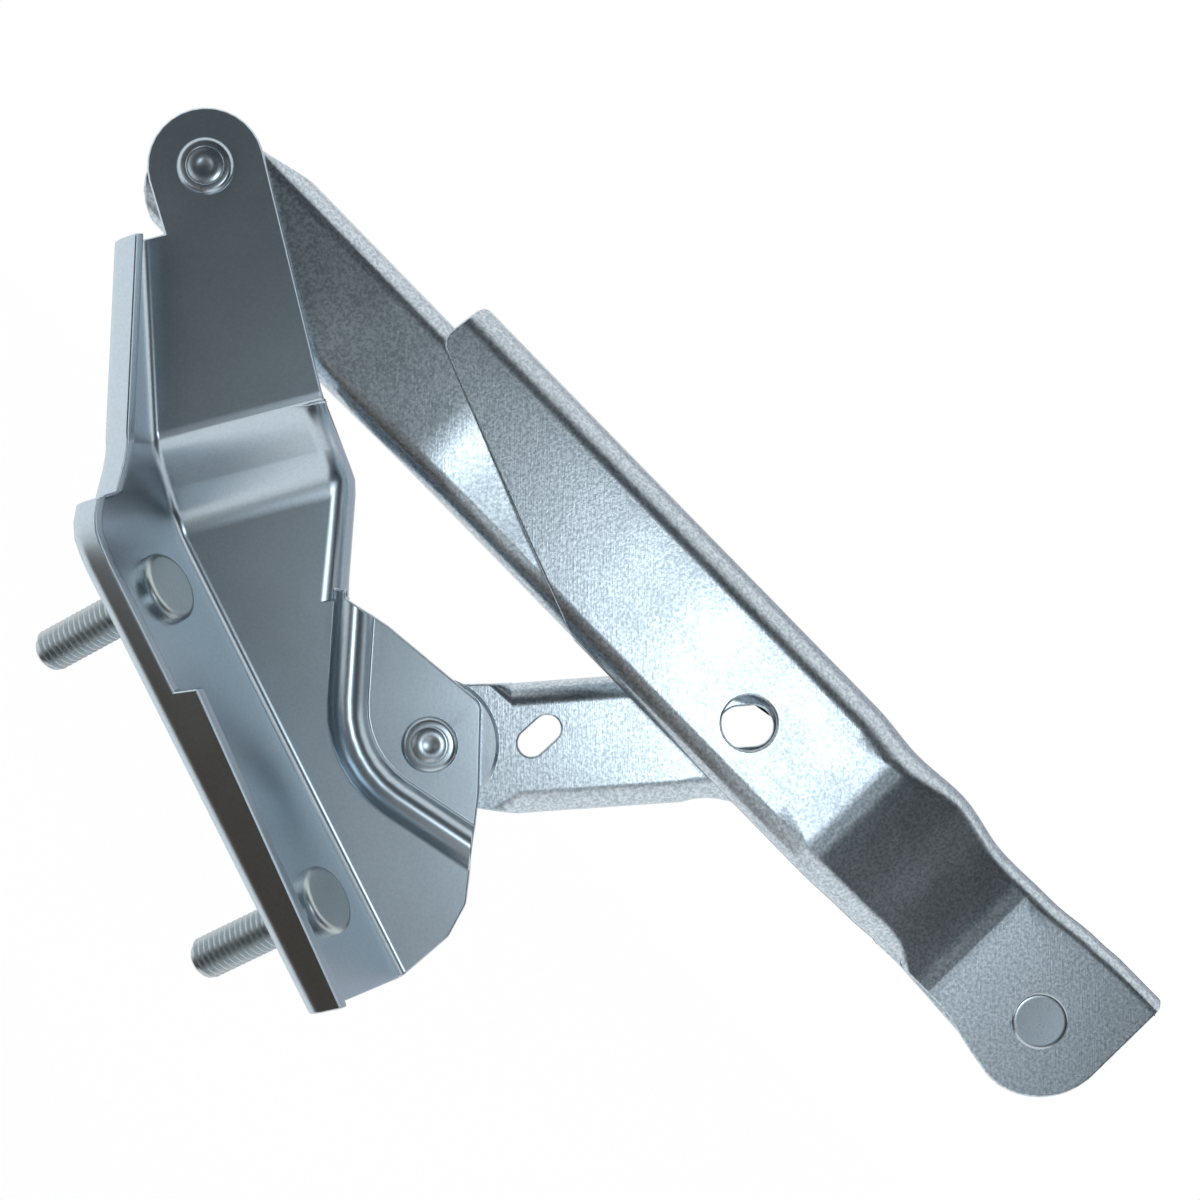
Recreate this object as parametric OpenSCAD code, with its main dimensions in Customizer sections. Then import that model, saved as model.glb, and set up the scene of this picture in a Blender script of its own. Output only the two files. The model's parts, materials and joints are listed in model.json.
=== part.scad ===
// Bonnet hinge, drawn shut: a pressed body bracket on two studs, a long arm, a cranked short link
// and a bonnet arm, riveted into a four-bar linkage.
// X runs rearwards along the shut arms, Y along the pivots to the inner side, Z up.
// The origin is the seat of the front stud, on the outer face of the stud flange.

/* [Pivots] */
// Lobe pivot, behind the ear pivot
lobe_x = 102.5; // [99:0.5:106]
// Lobe pivot, below the ear pivot
lobe_drop = 44.7; // [43:0.1:47]
// Hidden pivot, behind the ear pivot
hidden_x = 166; // [163:0.5:168]
// Hidden pivot, above the ear pivot
hidden_z = 4; // [3:0.1:4.5]
// Bonnet pivot, behind the ear pivot
bonnet_x = 217; // [213:0.5:225]
// Radius of the rivets' shanks
rivet_r = 3.5; // [3:0.1:4]
// Radius of the rivets' heads
head_r = 5.2; // [5:0.1:5.5]
// Height of a rivet's head
head_h = 1.2; // [0.8:0.1:1.6]
// Wall of the plain bushes
bush_t = 1.2; // [0.8:0.1:1.5]
// Thickness of the washers under the closed heads
washer_t = 0.8; // [0.5:0.1:1]
// Radius of the washers under the closed heads
washer_r = 7; // [6.5:0.1:7.2]

/* [Sheet] */
// Thickness of the pressed sheet
sheet_t = 2.5; // [2.2:0.1:2.8]
// Inside radius of a fold
fold_r = 2; // [1.6:0.1:2.4]

/* [Layers] */
// Bonnet arm's front face, before the ear
bonnet_proud = 1; // [0.5:0.1:2]
// Bracket's lower web, behind the ear
web_setback = 11.5; // [11:0.1:13]
// Spacer between the ear and the long arm
ear_spacer_t = 0.5; // [0.3:0.1:0.8]
// Long arm's eye, behind its other end
arm_setback = 4.5; // [4.2:0.1:5]
// Pad between the bracket's lobe and the short link
lobe_spacer_t = 1.5; // [1.2:0.1:2]
// Spacer between the bonnet arm and the short link
bonnet_spacer_t = 1; // [0.8:0.1:1.2]

/* [Body bracket] */
// Slope of the bracket's web below the arms
bracket_tilt = 30; // [28:0.5:32]
// Radius of the ear
ear_r = 10.6; // [10:0.1:11]
// Half width of the web at the ear
web_half = 10; // [9.5:0.1:10.5]
// Side flange's fold at its front end
fold_at_ear = 13.6; // [13:0.1:14.2]
// Side flange's fold at the start of the web's step
fold_at_step = 21.3; // [20.5:0.1:22]
// Stud flange's fold at the end of the web's step
fold_at_studs = 22.8; // [22:0.1:23.5]
// Start of the web's step, from the ear pivot
step_start = 44; // [42:0.5:46]
// Length of the web's step
step_run = 17; // [15:0.5:19]
// End of the web, behind the lobe pivot
web_tail = 40; // [38:0.5:42]
// Radius of the lobe
lobe_r = 11; // [10:0.1:12]
// Lean of the flanges out of the web's plane
flange_lean = 65; // [62:0.5:68]
// Front end of the side flange, from the ear pivot
side_start = 10; // [9:0.5:12]
// Reach of the side flange before the ear, at its front end
side_tip_reach = 5.5; // [5:0.5:7]
// Reach of the side flange before the ear, beside the step
side_reach = 11; // [10:0.5:12]
// Reach of the stud flange before the ear
stud_reach = 16; // [15:0.5:17]
// Front end of the stud flange, from the ear pivot
stud_start = 54.5; // [53:0.5:56]
// Slope of the stud flange against the web
stud_slope = 12.4; // [11:0.1:13]
// Height of the low lip
low_lip = 4.4; // [4.2:0.1:5]
// Height of the tall lip at its front end
tall_lip = 9; // [8:0.1:10]
// Height of the tall lip at its rear end
lip_end = 6; // [5:0.1:7]
// Front end of the tall lip, from the ear pivot
lip_start = 91; // [88:0.5:94]
// Depth of the rolled edge beside the step
roll_h = 6; // [5.5:0.1:6.5]
// Radius of the rib that curves round the lobe
rib_bend = 20; // [18:0.5:22]
// Radius of the rib's section
rib_r = 4; // [3.6:0.1:4.4]
// Height of the rib
rib_h = 2.3; // [1.8:0.1:2.6]

/* [Studs] */
// Thread radius of the studs
stud_r = 4; // [3:0.5:5]
// Length of a stud past its seat
stud_len = 26; // [18:1:30]
// Radius of a stud's head
stud_head_r = 6.6; // [6.2:0.1:7]
// Height of a stud's head
stud_head_h = 2.2; // [1.8:0.1:2.6]
// Front stud, from the ear pivot along the web
front_stud_q = 72; // [71:0.5:74]
// Distance between the studs along the web
stud_pitch = 61.5; // [58:0.5:64]
// Studs, from the fold of their flange
stud_from_fold = 13.5; // [12:0.5:15]

/* [Long arm] */
// Half width of the long arm below the pivots' line
arm_low = 12.2; // [12.1:0.1:12.5]
// Half width of the long arm above the pivots' line
arm_high = 11.9; // [11.6:0.1:12]
// Depth of the long arm's flanges
arm_flange = 7; // [6:0.1:8]
// Radius of the eye at the hidden pivot
arm_eye_r = 9.4; // [9:0.1:9.8]
// Start of the long arm's step, from the ear pivot
arm_step_start = 62; // [60:1:66]
// Length of the long arm's step
arm_step_run = 38; // [34:1:42]

/* [Short link] */
// Short link above its middle line
link_high = 10; // [9.6:0.1:10.4]
// Short link below its middle line, at the lobe
link_low = 14.2; // [13.8:0.1:14.4]
// Short link below its middle line, at the crank
link_crank_low = 14.4; // [14:0.1:14.8]
// Short link below its middle line, behind the bonnet arm
link_end_low = 11.2; // [11:0.1:11.4]
// Bend radius of the link's middle line
link_bend = 28; // [26:0.5:32]
// Depth of the link's flanges
link_flange = 6; // [5.5:0.1:7]
// Radius of the link's eyes
link_eye_r = 12.6; // [12:0.1:13]
// Clearance hole of the link round the bonnet rivet
link_hole_r = 8; // [7.9:0.1:8.4]
// Slot in the link, from the lobe pivot
slot_from_lobe = 20; // [18:0.5:22]
// Width of the slot
slot_w = 5; // [4.5:0.1:5.5]
// Length of the slot
slot_l = 9; // [8:0.1:10]
// Slant of the slot against the arms
slot_slant = 88; // [80:1:100]

/* [Bonnet arm] */
// Bonnet arm above the pivots' line
bonnet_high = 18.6; // [18:0.1:19]
// Bonnet arm below the pivots' line
bonnet_low = 12.2; // [11.8:0.1:12.4]
// Front end of the bonnet arm, from the ear pivot
bonnet_start = 52; // [50:0.5:55]
// Rear face of the top flange, behind the ear
top_flange_y = 24; // [22:0.5:26]
// Length of the bonnet arm's step
bonnet_step_run = 36; // [35:0.5:38]
// Radius of the rear end round the bonnet pivot
bonnet_end_r = 14; // [13.5:0.1:14.5]
// Depth of the lower lip
bonnet_lip = 4.7; // [4.6:0.05:4.9]
// Radius of the large hole
gauge_r = 5; // [4.5:0.1:5.2]
// Large hole, from the ear pivot
gauge_x = 140; // [138:0.5:142]
// Radius of the bonnet bolts' holes
bolt_hole_r = 4.5; // [3.5:0.1:4.8]
// Distance between the bonnet bolts
bolt_pitch = 60; // [50:1:66]
// Front bonnet bolt, from the ear pivot
front_bolt_x = 76; // [72:0.5:80]
// Bonnet bolts, behind the ear
bolt_y = 13; // [12:0.5:14]

/* [Hidden] */
$fn = 64;
// Radial clearance of a seat, and of a running fit
seat_gap = 0.02;
run_gap = 0.05;
// Axial clearance between turning faces
face_gap = 0.1;
// Width of a sudden change
hair = 0.5;
// Straight end left past a bend
nib = 0.1;
// Overshoot of cuts
over = 1;
// Far reach of trimming shapes
far = 60;
// Parts of a bend, and of a curved leg
bend_steps = 4;
curve_steps = 6;
// Parts of an outline's arc, and the rounding of its corners
arc_steps = 16;
outline_round = 3;
// Outside radius of a fold
outer_r = fold_r + sheet_t;
zinc = "#b4bcc2";
bright_zinc = "#c6ccd0";
bronze = "#8a7a52";

// Depths of the layers
arm_y = sheet_t + ear_spacer_t;
arm_eye_y = arm_y + arm_setback;
link_y = web_setback + sheet_t + lobe_spacer_t;
bonnet_end_y = link_y - bonnet_spacer_t - sheet_t;
bonnet_drop = bonnet_end_y + bonnet_proud;
bush_r = rivet_r + bush_t;

// Lobe pivot in the bracket's own axes: q along the web, p across it
lobe_q = lobe_x * cos(bracket_tilt) + lobe_drop * sin(bracket_tilt);
lobe_p = lobe_x * sin(bracket_tilt) - lobe_drop * cos(bracket_tilt);
web_end = lobe_q + web_tail;
step_end = step_start + step_run;

// Paths and folds

function unit(v) = v / norm(v);
function left_of(v) = [-v[1], v[0]];
function ease(t) = t <= 0 ? 0 : t >= 1 ? 1 : t * t * (3 - 2 * t);

// Arc of radius r in place of the corner b of the path a, b, c
function bend(a, b, c, r) =
    let (
        u = unit(a - b),
        v = unit(c - b),
        half = acos(u * v) / 2,
        middle = b + unit(u + v) * r / sin(half),
        start = b + u * r / tan(half) - middle,
        end = b + v * r / tan(half) - middle,
        sweep = 180 - 2 * half
    )
    [for (i = [0:bend_steps])
        let (t = i / bend_steps)
        middle + (sin((1 - t) * sweep) * start + sin(t * sweep) * end) / sin(sweep)];

// Path of a folded sheet's face, with a bend of the given radius at each inner corner
function folded(path, radii) =
    let (last = len(path) - 1)
    concat(
        [path[0]],
        [for (k = [1:last - 1]) each bend(path[k - 1], path[k], path[k + 1], radii[k - 1])],
        [path[last]]
    );

// Point j of a path, moved by t to its left
function shifted(path, j, t) =
    let (
        last = len(path) - 1,
        before = left_of(unit(j > 0 ? path[j] - path[j - 1] : path[1] - path[0])),
        after = left_of(unit(j < last ? path[j + 1] - path[j] : path[j] - path[j - 1])),
        way = unit(before + after)
    )
    path[j] + way * t / (way * before);

// Closed section of a sheet of thickness t, on the left of its face's path
function thick(path, t) =
    let (last = len(path) - 1)
    concat(path, [for (j = [last:-1:0]) shifted(path, j, t)]);

// Solid through a row of closed rings
module loft(rings) {
    m = len(rings);
    n = len(rings[0]);
    points = [for (ring = rings) each ring];
    near = [for (j = [n - 1:-1:0]) j];
    distant = [for (j = [0:n - 1]) (m - 1) * n + j];
    sides = [for (i = [0:m - 2], j = [0:n - 1])
        let (a = i * n + j, b = i * n + (j + 1) % n)
        each [[a, b + n, a + n], [a, b, b + n]]];
    polyhedron(points, concat([near, distant], sides), convexity = 8);
}

// Body bracket

// Depth of the web at q
function web_y(q) = web_setback * ease((q - step_start) / step_run);
// Line of the fold between the web and its flanges
function ridge_line(q) =
    q > step_end
        ? -fold_at_studs + (q - step_end) * tan(stud_slope)
        : q > step_start
            ? -lookup(q, [[step_start, fold_at_step], [step_end, fold_at_studs]])
            : -fold_at_ear - (fold_at_step - fold_at_ear) * abs(q - side_start) / (step_start - side_start);
// The same line with its corners eased
ridge_ease = 4;
function ridge(q) = (ridge_line(q - ridge_ease) + ridge_line(q) + ridge_line(q + ridge_ease)) / 3;
// Right edge of the web, which is trimmed to its outline past the ends of the rolled edge
roll_delay = 2;
notch_lead = 30;
notch_depth = 8.3;
web_grow = 1;
roll_start = step_start + roll_delay;
roll_end = lobe_q - notch_lead;
roll_tip = outer_r + nib;
notch_p = lobe_p - notch_depth;
function web_edge(q) =
    q < roll_start || q > roll_end
        ? far / 2
        : lookup(q, [
            [step_start, web_half],
            [step_end, web_half + web_grow],
            [roll_end, notch_p]
        ]);
function roll(q) = roll_tip + (roll_h - roll_tip) * ease((q - roll_start) / step_run);
function reach(q) =
    q < stud_start
        ? lookup(q, [[side_start, side_tip_reach], [step_start, side_reach]])
        : stud_reach;
function lip(q) =
    q < lip_start ? low_lip : tall_lip + (lip_end - tall_lip) * (q - lip_start) / (web_end - lip_start);
// Direction down a flange, and out of it to the inside, as [p, y]
down = [-cos(flange_lean), -sin(flange_lean)];
inside = [sin(flange_lean), -cos(flange_lean)];
function flange_w(q) = (web_y(q) + reach(q)) / sin(flange_lean);

// Section of the bracket at q, as a closed ring of [q, y, p]
function bracket_ring(q) =
    let (
        fold = [ridge(q), web_y(q)],
        edge = fold + down * flange_w(q),
        side = [web_edge(q), web_y(q)],
        path = [edge + inside * lip(q), edge, fold, side, side + [0, roll(q)]]
    )
    [for (s = thick(folded(path, [fold_r, fold_r, outer_r]), sheet_t)) [q, s[1], s[0]]];

// Places of the sections: close together over the step and at each sudden change
bracket_stations = concat(
    [-ear_r - over, side_start, step_start, roll_start - hair],
    [for (i = [0:8]) roll_start + i * (stud_start - hair - roll_start) / 8],
    [for (i = [0:4]) stud_start + i * (step_end + ridge_ease + over - stud_start) / 4],
    [roll_end, roll_end + hair, lip_start - hair, lip_start, web_end + over]
);

// Points of an arc
function arc(middle, r, from, to) =
    [for (i = [0:arc_steps]) let (a = from + (to - from) * i / arc_steps) middle + r * [cos(a), sin(a)]];

// Corners of the web round the lobe and at its rear end, from the lobe pivot and the end
lobe_corners = [[-23, -2], [-5, lobe_r], [lobe_r, lobe_r / 2 + over]];
tail_corners = [[-10, -0.8], [-5, -5.4]];

// Outline of the bracket, across the pivots
module bracket_outline() {
    offset(r = outline_round)
        offset(delta = -outline_round)
            polygon(concat(
                arc([0, 0], ear_r, 270, 90),
                [
                    [step_start, web_half + nib],
                    [step_end, web_half + web_grow + nib],
                    [roll_end, notch_p + nib],
                    each [for (c = lobe_corners) [lobe_q, lobe_p] + c],
                    each [for (c = tail_corners) [web_end, lobe_p] + c],
                    [web_end, ridge(web_end)],
                    [web_end, -far],
                    [side_start, -far],
                    [side_start, ridge(side_start) + 2 * fold_r]
                ]
            ));
}

// Shape drawn as [q, p] and carried along Y
module across_pivots(from, to) {
    translate([0, to, 0])
        rotate([90, 0, 0])
            linear_extrude(to - from)
                children();
}

// Hole along Y
module pivot_hole(x, z, r, from, to) {
    translate([x, to, z])
        rotate([90, 0, 0])
            cylinder(r = r, h = to - from);
}

// Rib round the lobe: two straight legs and the curve between them, as [[q, p], heading]
rib_fall = 18;
rib_climb = 42;
rib_leg = 20;
rib_lead = 5.5;
rib_drop = 13.5;
rib_middle = [lobe_q - rib_lead, lobe_p - rib_drop + rib_bend];
function rib_at(heading, lead) =
    [rib_middle + rib_bend * [sin(heading), -cos(heading)] + lead * [cos(heading), sin(heading)], heading];
rib_stations = concat(
    [rib_at(-rib_fall, -rib_leg)],
    [for (i = [0:curve_steps]) rib_at(-rib_fall + (rib_fall + rib_climb) * i / curve_steps, 0)],
    [rib_at(rib_climb, rib_leg)]
);
rib_y = web_setback + rib_r - rib_h;

// Bead along the rib: an arc of radius r on the front side, closed by a flat at the depth y
rib_steps = 10;
module rib_bead(r, y) {
    lift = asin((rib_y - y) / r);
    loft([for (s = rib_stations)
        [for (i = [0:rib_steps])
            let (a = lift + (180 - 2 * lift) * i / rib_steps, across = -r * cos(a))
            [s[0][0] - across * sin(s[1]), rib_y - r * sin(a), s[0][1] + across * cos(s[1])]]]);
}

// Studs

// Collar of a stud, past its thread
stud_collar = 0.5;
// Direction in which a stud points, as [q, y, p]: square to the stud flange
stud_way = unit(cross([cos(stud_slope), 0, sin(stud_slope)], [0, down[1], down[0]]));
// Thickness of the flange along a stud
stud_seat_t = sheet_t * (stud_way * [0, -inside[1], -inside[0]]);
function stud_foot(q) =
    let (at = [ridge(q), web_y(q)] + down * stud_from_fold)
    [q, at[1], at[0]];
// Place of a bracket point in the hinge's axes
function in_hinge(v) =
    [v[0] * cos(bracket_tilt) + v[2] * sin(bracket_tilt), v[1],
        v[2] * cos(bracket_tilt) - v[0] * sin(bracket_tilt)];
datum = in_hinge(stud_foot(front_stud_q) + stud_way * stud_seat_t);

module at_stud(q) {
    translate(stud_foot(q))
        rotate([0, acos(stud_way[2]), atan2(stud_way[1], stud_way[0])])
            children();
}

// From the hinge's axes, with the ear pivot at zero, to the part's frame
module seat() {
    translate(-datum)
        children();
}

module seat_bracket() {
    seat()
        rotate([0, bracket_tilt, 0])
            children();
}

// Keeps what lies inside the bracket's outline
module trim_bracket() {
    intersection() {
        children();
        across_pivots(-far, far)
            bracket_outline();
    }
}

module body_bracket() {
    color(zinc)
        seat_bracket()
            difference() {
                union() {
                    trim_bracket()
                        loft([for (q = bracket_stations) bracket_ring(q)]);
                    trim_bracket()
                        rib_bead(rib_r, web_setback + sheet_t / 2);
                }
                rib_bead(rib_r - sheet_t / 2, web_setback + sheet_t + over);
                pivot_hole(0, 0, rivet_r + seat_gap, -over, sheet_t + over);
                pivot_hole(lobe_q, lobe_p, rivet_r + seat_gap, web_setback - over, link_y);
                for (q = [front_stud_q, front_stud_q + stud_pitch])
                    at_stud(q)
                        translate([0, 0, -over])
                            cylinder(r = stud_r + stud_collar + seat_gap, h = sheet_t + 2 * over);
            }
}

// Stud with a flat, round-edged head on the inside of its flange and a pressed collar in it
stud_edge = 0.8;
stud_point = 1.2;
module stud(q) {
    color(bright_zinc)
        seat_bracket()
            at_stud(q)
                rotate_extrude()
                    polygon([
                        [0, -stud_head_h],
                        [stud_head_r - stud_edge, -stud_head_h],
                        [stud_head_r, -stud_head_h + stud_edge],
                        [stud_head_r, 0],
                        [stud_r + stud_collar, 0],
                        [stud_r + stud_collar, stud_seat_t],
                        [stud_r, stud_seat_t],
                        [stud_r, stud_seat_t + stud_len - stud_point],
                        [stud_r - stud_point, stud_seat_t + stud_len],
                        [0, stud_seat_t + stud_len]
                    ]);
}

module front_stud() {
    stud(front_stud_q);
}

module rear_stud() {
    stud(front_stud_q + stud_pitch);
}

// Arms and link

// Closed ring of a channel at a point of the hinge's plane, square to the heading
function channel_ring(at, heading, low, high, y, low_y, high_y, low_r, high_r) =
    [for (s = thick(folded([[-low, low_y], [-low, y], [high, y], [high, high_y]], [low_r, high_r]), sheet_t))
        [at[0] - s[0] * sin(heading), s[1], at[1] + s[0] * cos(heading)]];

// Long arm: straight, with a step towards its eye, where its flanges run out
function arm_face(x) = arm_y + arm_setback * ease((x - arm_step_start) / arm_step_run);
// Round tail behind the ear, where the arm's lower edge runs deeper
arm_tail = 11.8;
tail_deep = 1.8;
tail_lead = 3;
arm_tail_at = [tail_lead, -tail_deep - over];
function arm_below(x) = arm_low + tail_deep * ease((arm_step_start - x) / arm_step_start);
// Before its flat eye the arm's folds run out past the trimmed edge
arm_eye_start = hidden_x - arm_eye_r - over;
arm_run_out = 16;
arm_stations = concat(
    [-arm_tail - over],
    [for (i = [0:3]) i * arm_step_start / 3],
    [for (i = [1:6]) arm_step_start + i * arm_step_run / 6],
    [for (i = [0:4]) arm_eye_start - arm_run_out + i * arm_run_out / 4],
    [hidden_x + arm_eye_r + over]
);
function arm_half(x, wide) =
    wide + (arm_eye_r + outer_r + over + hidden_z - wide) * ease((x - arm_eye_start + arm_run_out) / arm_run_out);

module arm_outline() {
    polygon(concat(
        arc(arm_tail_at, arm_tail, 270, 90),
        [[tail_lead + arm_tail, arm_high + nib], [arm_eye_start - arm_run_out, arm_high + nib]],
        arc([hidden_x, hidden_z], arm_eye_r, 90, -90),
        [[arm_eye_start - arm_run_out, -arm_low - nib], [arm_step_start, -arm_low - over]]
    ));
}

module long_arm() {
    color(zinc)
        seat()
            difference() {
                intersection() {
                    loft([for (x = arm_stations)
                        let (y = arm_face(x), back = y + arm_flange)
                        channel_ring([x, 0], 0, arm_half(x, arm_below(x)), arm_half(x, arm_high), y, back, back,
                            outer_r, outer_r)]);
                    across_pivots(0, far)
                        arm_outline();
                }
                pivot_hole(0, 0, bush_r + seat_gap, 0, far);
                pivot_hole(hidden_x, hidden_z, bush_r + seat_gap, 0, far);
                pivot_hole(gauge_x, 0, gauge_r + over, 0, far);
            }
}

// Short link: up from the lobe to a crank at the large hole, then along behind the bonnet arm
link_rise = atan2(lobe_drop, gauge_x - lobe_x);
link_tangent = link_bend * tan(link_rise / 2);
link_crank = [gauge_x, 0];
function link_curve(t) =
    let (turn = link_rise * (1 - t))
    [link_crank + [link_tangent, -link_bend] + link_bend * [-sin(turn), cos(turn)], turn];
// Past its flat eyes the link's folds come in from the trimmed edge
lobe_flat = 7.5;
lobe_run_out = 8;
flat_eye = 12.5;
eye_run_out = 14;
link_wide = link_eye_r + outer_r + over;
link_way = [cos(link_rise), sin(link_rise)];
link_lobe = [lobe_x, -lobe_drop];
link_bonnet = [bonnet_x, 0];
// Places of the sections, as [point, heading, below, above]
link_stations = concat(
    [
        [link_lobe - (link_eye_r + over) * link_way, link_rise, link_wide, link_wide],
        [link_lobe + lobe_flat * link_way, link_rise, link_wide, link_wide],
        [link_lobe + (lobe_flat + lobe_run_out) * link_way, link_rise, link_low, link_high]
    ],
    [for (i = [0:curve_steps])
        let (t = i / curve_steps)
        concat(link_curve(t), lookup(t, [[0, link_crank_low], [1, link_end_low]]), link_high)],
    [
        [link_bonnet - [flat_eye + eye_run_out, 0], 0, link_end_low, link_high],
        [link_bonnet - [flat_eye, 0], 0, link_wide, link_wide],
        [link_bonnet + [link_eye_r + over, 0], 0, link_wide, link_wide]
    ]
);

link_lobe_r = link_high + over;
// Sight hole of the link, behind the large hole of the bonnet arm
sight_w = 7.5;
sight_shift = [0.8, -0.8];
// Turn at which the lower edge leaves the lobe's eye
lobe_wrap = 240;
link_left = [-sin(link_rise), cos(link_rise)];
module link_outline() {
    polygon(concat(
        arc(link_lobe, link_lobe_r, link_rise + lobe_wrap, link_rise + 90),
        [
            link_lobe + (lobe_flat + lobe_run_out) * link_way + (link_high + nib) * link_left,
            link_crank + 2 * link_high * [-1, 1]
        ],
        arc(link_bonnet, link_eye_r, 90, -90),
        [
            link_bonnet - [flat_eye + eye_run_out, link_end_low + nib],
            link_crank + [link_tangent + link_bend, -link_end_low - over],
            link_lobe + (lobe_flat + lobe_run_out) * link_way - (link_low + nib) * link_left
        ]
    ));
}

// Slot through a sheet: two round ends and the space between them
module slot(w, l) {
    for (side = [-1, 1])
        translate([side * (l - w) / 2, 0])
            circle(w / 2);
    square([l - w, w], center = true);
}

module short_link() {
    color(zinc)
        seat()
            difference() {
                intersection() {
                    loft([for (s = link_stations)
                        channel_ring(s[0], s[1], s[2], s[3], link_y, link_y + link_flange, link_y + link_flange,
                            outer_r, outer_r)]);
                    across_pivots(0, far)
                        link_outline();
                }
                pivot_hole(lobe_x, -lobe_drop, bush_r + seat_gap, 0, far);
                pivot_hole(bonnet_x, 0, link_hole_r, 0, far);
                across_pivots(0, far) {
                    translate(link_lobe + slot_from_lobe * link_way)
                        rotate(slot_slant)
                            slot(slot_w, slot_l);
                    translate(link_crank + sight_shift)
                        rotate(link_rise)
                            slot(sight_w, 2 * gauge_r);
                }
            }
}

// Bonnet arm: a top flange for the bonnet, and a step back to the bonnet pivot from just before the hidden one
step_lead = 3;
bonnet_step_start = hidden_x - step_lead;
function bonnet_face(x) = -bonnet_proud + bonnet_drop * ease((x - bonnet_step_start) / bonnet_step_run);
flange_narrows = 14;
top_end_r = sheet_t + 0.7;
top_start_r = outer_r + 1;
function top_r(x) = top_start_r + (top_end_r - top_start_r) * ease((x - bonnet_step_start) / flange_narrows);
function top_rear(x) =
    let (narrow = bonnet_face(x) + top_end_r + nib)
    top_flange_y + (max(narrow, bonnet_end_y + top_end_r + nib) - top_flange_y)
        * ease((x - bonnet_step_start + flange_narrows) / flange_narrows);
// The lower lip leaves the outline before the round end
lip_run_out = 16;
function lip_line(x) =
    bonnet_low + (bonnet_end_r + outer_r + over - bonnet_low)
        * ease((x - bonnet_x + 2 * lip_run_out) / lip_run_out);
bonnet_stations = concat(
    [bonnet_start - over, bonnet_step_start - flange_narrows],
    [for (i = [1:4]) bonnet_step_start - flange_narrows + i * flange_narrows / 4],
    [for (i = [1:10]) bonnet_step_start + i * bonnet_step_run / 10],
    [bonnet_x - lip_run_out, bonnet_x + bonnet_end_r + over]
);

// Front end of the bonnet arm: a short edge, then a slope that steepens to the lower lip
front_edge = 10;
front_slope = 33;
front_run = 58;

module bonnet_outline() {
    offset(r = outline_round)
        offset(delta = -outline_round)
            polygon(concat(
                [
                    [bonnet_start + over, bonnet_high + over],
                    [bonnet_start, bonnet_high - front_edge],
                    [bonnet_start + front_slope, -bonnet_low / 3],
                    [bonnet_start + front_run, -bonnet_low - over],
                    [bonnet_x - bonnet_end_r, -bonnet_low - nib]
                ],
                arc([bonnet_x, 0], bonnet_end_r, -90, 0),
                [[bonnet_x + bonnet_end_r, bonnet_high + over]]
            ));
}

// Foot of the hidden pivot, let into the back of the bonnet arm
foot_r = 5.2;
foot_skin = 0.5;
foot_y = bonnet_face(hidden_x + foot_r) + foot_skin;

module bonnet_arm() {
    color(zinc)
        seat()
            difference() {
                intersection() {
                    loft([for (x = bonnet_stations)
                        channel_ring([x, 0], 0, lip_line(x), bonnet_high, bonnet_face(x),
                            bonnet_face(x) + bonnet_lip, top_rear(x), outer_r, top_r(x))]);
                    across_pivots(-far, far)
                        bonnet_outline();
                }
                pivot_hole(bonnet_x, 0, rivet_r + seat_gap, 0, far);
                pivot_hole(hidden_x, hidden_z, foot_r + seat_gap, foot_y, far);
                pivot_hole(gauge_x, 0, gauge_r, -far, far);
                for (x = [front_bolt_x, front_bolt_x + bolt_pitch])
                    translate([x, bolt_y, 0])
                        cylinder(r = bolt_hole_r, h = far);
            }
}

// Pivots

// Round piece along Y, from its half section as [r, y]
module turned(x, z, shade) {
    color(shade)
        seat()
            translate([x, 0, z])
                rotate([-90, 0, 0])
                    rotate_extrude()
                        children();
}

module ring(inner, outer, from, to) {
    translate([inner, from])
        square([outer - inner, to - from]);
}

// Rivet with a low dished head in front of the sheet at y, and a closed head behind
dish = 0.3;
closed_h = 2;
module rivet_section(front, back) {
    polygon([
        [0, front - head_h + dish],
        [head_r / 2, front - head_h],
        [head_r - head_h / 2, front - head_h],
        [head_r, front - head_h / 2],
        [head_r, front],
        [rivet_r, front],
        [rivet_r, back],
        [head_r, back],
        [head_r, back + closed_h / 2],
        [head_r - closed_h / 2, back + closed_h],
        [0, back + closed_h]
    ]);
}

ear_back = arm_y + sheet_t + face_gap;
lobe_back = link_y + sheet_t + face_gap;
hidden_back = arm_eye_y + sheet_t + face_gap;

module ear_rivet() {
    turned(0, 0, bright_zinc)
        rivet_section(0, ear_back + washer_t);
}

module ear_bush() {
    turned(0, 0, bronze)
        ring(rivet_r + run_gap, bush_r, arm_y, arm_y + sheet_t);
}

module ear_spacer() {
    turned(0, 0, bright_zinc)
        ring(rivet_r + seat_gap, washer_r, sheet_t, arm_y - face_gap);
}

module ear_back_washer() {
    turned(0, 0, bright_zinc)
        ring(rivet_r + seat_gap, washer_r, ear_back, ear_back + washer_t);
}

module lobe_rivet() {
    turned(lobe_x, -lobe_drop, bright_zinc)
        rivet_section(web_setback, lobe_back + washer_t);
}

module lobe_bush() {
    turned(lobe_x, -lobe_drop, bronze)
        ring(rivet_r + run_gap, bush_r, link_y, link_y + sheet_t);
}

pad_edge = 0.6;
module lobe_pad() {
    turned(lobe_x, -lobe_drop, bright_zinc)
        polygon([
            [rivet_r + seat_gap, web_setback + sheet_t],
            [link_eye_r - pad_edge, web_setback + sheet_t],
            [link_eye_r, web_setback + sheet_t + pad_edge],
            [link_eye_r, link_y - face_gap],
            [rivet_r + seat_gap, link_y - face_gap]
        ]);
}

module lobe_back_washer() {
    turned(lobe_x, -lobe_drop, bright_zinc)
        ring(rivet_r + seat_gap, washer_r, lobe_back, lobe_back + washer_t);
}

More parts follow.
